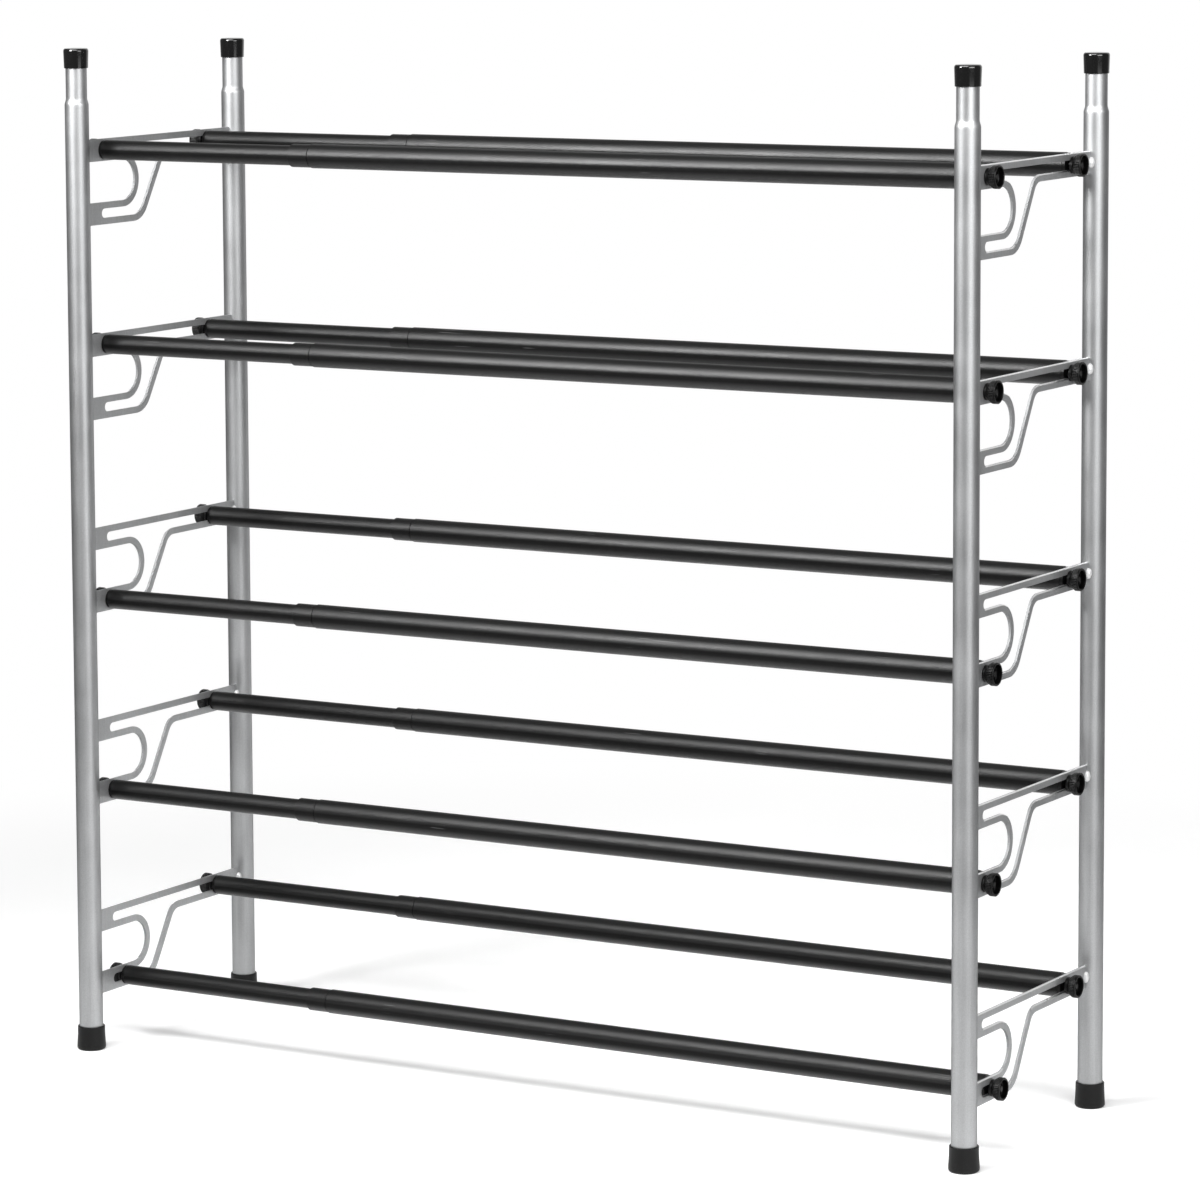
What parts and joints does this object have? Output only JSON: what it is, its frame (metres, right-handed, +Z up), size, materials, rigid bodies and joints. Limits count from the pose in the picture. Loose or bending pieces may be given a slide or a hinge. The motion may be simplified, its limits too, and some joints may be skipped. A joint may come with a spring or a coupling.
{
  "type": "expandable shoe rack",
  "caption": "Free-standing telescopic shoe rack: two silver end frames of posts and punched brackets, joined by black sliding rods that knobs clamp in the tracks.",
  "frame": {"origin": "on the floor, at the middle of the rack's overall box", "axes": "+X to the right along the rods, +Y from front to rear, +Z up"},
  "size_m": [0.9268, 0.2828, 0.9326],
  "materials": {
    "silver_steel": "satin silver powder coat on steel",
    "black_steel": "fine-textured matte black powder coat on steel",
    "black_plastic": "moulded, low sheen",
    "cap_plastic": "moulded, glossy",
    "foot_rubber": "moulded, matte"
  },
  "bodies": {
    "left_frame": {"post_front_left": "silver_steel", "post_rear_left": "silver_steel", "left_brackets": "silver_steel", "left_caps": "cap_plastic", "left_feet": "foot_rubber"},
    "right_frame": {"post_front_right": "silver_steel", "post_rear_right": "silver_steel", "right_brackets": "silver_steel", "right_caps": "cap_plastic", "right_feet": "foot_rubber"},
    "outer_rod_front_1": {"outer_tube_front_1": "black_steel", "collar_front_1": "black_plastic"},
    "inner_rod_front_1": {"inner_tube_front_1": "black_steel"},
    "knob_front_left_1": {"knob_front_left_1": "black_plastic"},
    "knob_front_right_1": {"knob_front_right_1": "black_plastic"},
    "outer_rod_front_2": {"outer_tube_front_2": "black_steel", "collar_front_2": "black_plastic"},
    "inner_rod_front_2": {"inner_tube_front_2": "black_steel"},
    "knob_front_left_2": {"knob_front_left_2": "black_plastic"},
    "knob_front_right_2": {"knob_front_right_2": "black_plastic"},
    "outer_rod_front_3": {"outer_tube_front_3": "black_steel", "collar_front_3": "black_plastic"},
    "inner_rod_front_3": {"inner_tube_front_3": "black_steel"},
    "knob_front_left_3": {"knob_front_left_3": "black_plastic"},
    "knob_front_right_3": {"knob_front_right_3": "black_plastic"},
    "outer_rod_front_4": {"outer_tube_front_4": "black_steel", "collar_front_4": "black_plastic"},
    "inner_rod_front_4": {"inner_tube_front_4": "black_steel"},
    "knob_front_left_4": {"knob_front_left_4": "black_plastic"},
    "knob_front_right_4": {"knob_front_right_4": "black_plastic"},
    "outer_rod_front_5": {"outer_tube_front_5": "black_steel", "collar_front_5": "black_plastic"},
    "inner_rod_front_5": {"inner_tube_front_5": "black_steel"},
    "knob_front_left_5": {"knob_front_left_5": "black_plastic"},
    "knob_front_right_5": {"knob_front_right_5": "black_plastic"},
    "outer_rod_rear_1": {"outer_tube_rear_1": "black_steel", "collar_rear_1": "black_plastic"},
    "inner_rod_rear_1": {"inner_tube_rear_1": "black_steel"},
    "knob_rear_left_1": {"knob_rear_left_1": "black_plastic"},
    "knob_rear_right_1": {"knob_rear_right_1": "black_plastic"},
    "outer_rod_rear_2": {"outer_tube_rear_2": "black_steel", "collar_rear_2": "black_plastic"},
    "inner_rod_rear_2": {"inner_tube_rear_2": "black_steel"},
    "knob_rear_left_2": {"knob_rear_left_2": "black_plastic"},
    "knob_rear_right_2": {"knob_rear_right_2": "black_plastic"},
    "outer_rod_rear_3": {"outer_tube_rear_3": "black_steel", "collar_rear_3": "black_plastic"},
    "inner_rod_rear_3": {"inner_tube_rear_3": "black_steel"},
    "knob_rear_left_3": {"knob_rear_left_3": "black_plastic"},
    "knob_rear_right_3": {"knob_rear_right_3": "black_plastic"},
    "outer_rod_rear_4": {"outer_tube_rear_4": "black_steel", "collar_rear_4": "black_plastic"},
    "inner_rod_rear_4": {"inner_tube_rear_4": "black_steel"},
    "knob_rear_left_4": {"knob_rear_left_4": "black_plastic"},
    "knob_rear_right_4": {"knob_rear_right_4": "black_plastic"},
    "outer_rod_rear_5": {"outer_tube_rear_5": "black_steel", "collar_rear_5": "black_plastic"},
    "inner_rod_rear_5": {"inner_tube_rear_5": "black_steel"},
    "knob_rear_left_5": {"knob_rear_left_5": "black_plastic"},
    "knob_rear_right_5": {"knob_rear_right_5": "black_plastic"}
  },
  "joints": [
    {"name": "width", "type": "slide", "parent": "right_frame", "child": "left_frame", "axis": [-1, 0, 0], "range_m": [-0.2, 0.28]},
    {"name": "outer_rod_front_1_slide", "type": "slide", "parent": "right_frame", "child": "outer_rod_front_1", "axis": [0, 1, 0], "range_m": [-0.016, 0.026]},
    {"name": "inner_rod_front_1_slide", "type": "slide", "parent": "left_frame", "child": "inner_rod_front_1", "axis": [0, 1, 0], "range_m": [-0.016, 0.026]},
    {"name": "knob_front_left_1_turn", "type": "hinge", "parent": "inner_rod_front_1", "child": "knob_front_left_1", "pos_m": [-0.4488, -0.0737, 0.0601], "axis": [-1, 0, 0], "continuous": true},
    {"name": "knob_front_right_1_turn", "type": "hinge", "parent": "outer_rod_front_1", "child": "knob_front_right_1", "pos_m": [0.4488, -0.0737, 0.0601], "axis": [1, 0, 0], "continuous": true},
    {"name": "outer_rod_front_2_slide", "type": "slide", "parent": "right_frame", "child": "outer_rod_front_2", "axis": [0, 1, 0], "range_m": [0, 0.04]},
    {"name": "inner_rod_front_2_slide", "type": "slide", "parent": "left_frame", "child": "inner_rod_front_2", "axis": [0, 1, 0], "range_m": [0, 0.04]},
    {"name": "knob_front_left_2_turn", "type": "hinge", "parent": "inner_rod_front_2", "child": "knob_front_left_2", "pos_m": [-0.4488, -0.0897, 0.2398], "axis": [-1, 0, 0], "continuous": true},
    {"name": "knob_front_right_2_turn", "type": "hinge", "parent": "outer_rod_front_2", "child": "knob_front_right_2", "pos_m": [0.4488, -0.0897, 0.2398], "axis": [1, 0, 0], "continuous": true},
    {"name": "outer_rod_front_3_slide", "type": "slide", "parent": "right_frame", "child": "outer_rod_front_3", "axis": [0, 1, 0], "range_m": [0, 0.04]},
    {"name": "inner_rod_front_3_slide", "type": "slide", "parent": "left_frame", "child": "inner_rod_front_3", "axis": [0, 1, 0], "range_m": [0, 0.04]},
    {"name": "knob_front_left_3_turn", "type": "hinge", "parent": "inner_rod_front_3", "child": "knob_front_left_3", "pos_m": [-0.4488, -0.0897, 0.4195], "axis": [-1, 0, 0], "continuous": true},
    {"name": "knob_front_right_3_turn", "type": "hinge", "parent": "outer_rod_front_3", "child": "knob_front_right_3", "pos_m": [0.4488, -0.0897, 0.4195], "axis": [1, 0, 0], "continuous": true},
    {"name": "outer_rod_front_4_slide", "type": "slide", "parent": "right_frame", "child": "outer_rod_front_4", "axis": [0, 1, 0], "range_m": [0, 0.03]},
    {"name": "inner_rod_front_4_slide", "type": "slide", "parent": "left_frame", "child": "inner_rod_front_4", "axis": [0, 1, 0], "range_m": [0, 0.03]},
    {"name": "knob_front_left_4_turn", "type": "hinge", "parent": "inner_rod_front_4", "child": "knob_front_left_4", "pos_m": [-0.4488, -0.0897, 0.6578], "axis": [-1, 0, 0], "continuous": true},
    {"name": "knob_front_right_4_turn", "type": "hinge", "parent": "outer_rod_front_4", "child": "knob_front_right_4", "pos_m": [0.4488, -0.0897, 0.6578], "axis": [1, 0, 0], "continuous": true},
    {"name": "outer_rod_front_5_slide", "type": "slide", "parent": "right_frame", "child": "outer_rod_front_5", "axis": [0, 1, 0], "range_m": [0, 0.03]},
    {"name": "inner_rod_front_5_slide", "type": "slide", "parent": "left_frame", "child": "inner_rod_front_5", "axis": [0, 1, 0], "range_m": [0, 0.03]},
    {"name": "knob_front_left_5_turn", "type": "hinge", "parent": "inner_rod_front_5", "child": "knob_front_left_5", "pos_m": [-0.4488, -0.0897, 0.8375], "axis": [-1, 0, 0], "continuous": true},
    {"name": "knob_front_right_5_turn", "type": "hinge", "parent": "outer_rod_front_5", "child": "knob_front_right_5", "pos_m": [0.4488, -0.0897, 0.8375], "axis": [1, 0, 0], "continuous": true},
    {"name": "outer_rod_rear_1_slide", "type": "slide", "parent": "right_frame", "child": "outer_rod_rear_1", "axis": [0, 1, 0], "range_m": [-0.06, 0]},
    {"name": "inner_rod_rear_1_slide", "type": "slide", "parent": "left_frame", "child": "inner_rod_rear_1", "axis": [0, 1, 0], "range_m": [-0.06, 0]},
    {"name": "knob_rear_left_1_turn", "type": "hinge", "parent": "inner_rod_rear_1", "child": "knob_rear_left_1", "pos_m": [-0.4488, 0.0793, 0.1187], "axis": [-1, 0, 0], "continuous": true},
    {"name": "knob_rear_right_1_turn", "type": "hinge", "parent": "outer_rod_rear_1", "child": "knob_rear_right_1", "pos_m": [0.4488, 0.0793, 0.1187], "axis": [1, 0, 0], "continuous": true},
    {"name": "outer_rod_rear_2_slide", "type": "slide", "parent": "right_frame", "child": "outer_rod_rear_2", "axis": [0, 1, 0], "range_m": [-0.06, 0]},
    {"name": "inner_rod_rear_2_slide", "type": "slide", "parent": "left_frame", "child": "inner_rod_rear_2", "axis": [0, 1, 0], "range_m": [-0.06, 0]},
    {"name": "knob_rear_left_2_turn", "type": "hinge", "parent": "inner_rod_rear_2", "child": "knob_rear_left_2", "pos_m": [-0.4488, 0.0793, 0.2984], "axis": [-1, 0, 0], "continuous": true},
    {"name": "knob_rear_right_2_turn", "type": "hinge", "parent": "outer_rod_rear_2", "child": "knob_rear_right_2", "pos_m": [0.4488, 0.0793, 0.2984], "axis": [1, 0, 0], "continuous": true},
    {"name": "outer_rod_rear_3_slide", "type": "slide", "parent": "right_frame", "child": "outer_rod_rear_3", "axis": [0, 1, 0], "range_m": [-0.06, 0]},
    {"name": "inner_rod_rear_3_slide", "type": "slide", "parent": "left_frame", "child": "inner_rod_rear_3", "axis": [0, 1, 0], "range_m": [-0.06, 0]},
    {"name": "knob_rear_left_3_turn", "type": "hinge", "parent": "inner_rod_rear_3", "child": "knob_rear_left_3", "pos_m": [-0.4488, 0.0793, 0.4781], "axis": [-1, 0, 0], "continuous": true},
    {"name": "knob_rear_right_3_turn", "type": "hinge", "parent": "outer_rod_rear_3", "child": "knob_rear_right_3", "pos_m": [0.4488, 0.0793, 0.4781], "axis": [1, 0, 0], "continuous": true},
    {"name": "outer_rod_rear_4_slide", "type": "slide", "parent": "right_frame", "child": "outer_rod_rear_4", "axis": [0, 1, 0], "range_m": [-0.06, 0]},
    {"name": "inner_rod_rear_4_slide", "type": "slide", "parent": "left_frame", "child": "inner_rod_rear_4", "axis": [0, 1, 0], "range_m": [-0.06, 0]},
    {"name": "knob_rear_left_4_turn", "type": "hinge", "parent": "inner_rod_rear_4", "child": "knob_rear_left_4", "pos_m": [-0.4488, 0.0793, 0.6578], "axis": [-1, 0, 0], "continuous": true},
    {"name": "knob_rear_right_4_turn", "type": "hinge", "parent": "outer_rod_rear_4", "child": "knob_rear_right_4", "pos_m": [0.4488, 0.0793, 0.6578], "axis": [1, 0, 0], "continuous": true},
    {"name": "outer_rod_rear_5_slide", "type": "slide", "parent": "right_frame", "child": "outer_rod_rear_5", "axis": [0, 1, 0], "range_m": [-0.06, 0]},
    {"name": "inner_rod_rear_5_slide", "type": "slide", "parent": "left_frame", "child": "inner_rod_rear_5", "axis": [0, 1, 0], "range_m": [-0.06, 0]},
    {"name": "knob_rear_left_5_turn", "type": "hinge", "parent": "inner_rod_rear_5", "child": "knob_rear_left_5", "pos_m": [-0.4488, 0.0793, 0.8375], "axis": [-1, 0, 0], "continuous": true},
    {"name": "knob_rear_right_5_turn", "type": "hinge", "parent": "outer_rod_rear_5", "child": "knob_rear_right_5", "pos_m": [0.4488, 0.0793, 0.8375], "axis": [1, 0, 0], "continuous": true}
  ],
  "couplings": [
    {"joint": "inner_rod_front_1_slide", "follows": "outer_rod_front_1_slide", "ratio": 1},
    {"joint": "inner_rod_front_2_slide", "follows": "outer_rod_front_2_slide", "ratio": 1},
    {"joint": "inner_rod_front_3_slide", "follows": "outer_rod_front_3_slide", "ratio": 1},
    {"joint": "inner_rod_front_4_slide", "follows": "outer_rod_front_4_slide", "ratio": 1},
    {"joint": "inner_rod_front_5_slide", "follows": "outer_rod_front_5_slide", "ratio": 1},
    {"joint": "inner_rod_rear_1_slide", "follows": "outer_rod_rear_1_slide", "ratio": 1},
    {"joint": "inner_rod_rear_2_slide", "follows": "outer_rod_rear_2_slide", "ratio": 1},
    {"joint": "inner_rod_rear_3_slide", "follows": "outer_rod_rear_3_slide", "ratio": 1},
    {"joint": "inner_rod_rear_4_slide", "follows": "outer_rod_rear_4_slide", "ratio": 1},
    {"joint": "inner_rod_rear_5_slide", "follows": "outer_rod_rear_5_slide", "ratio": 1}
  ]
}
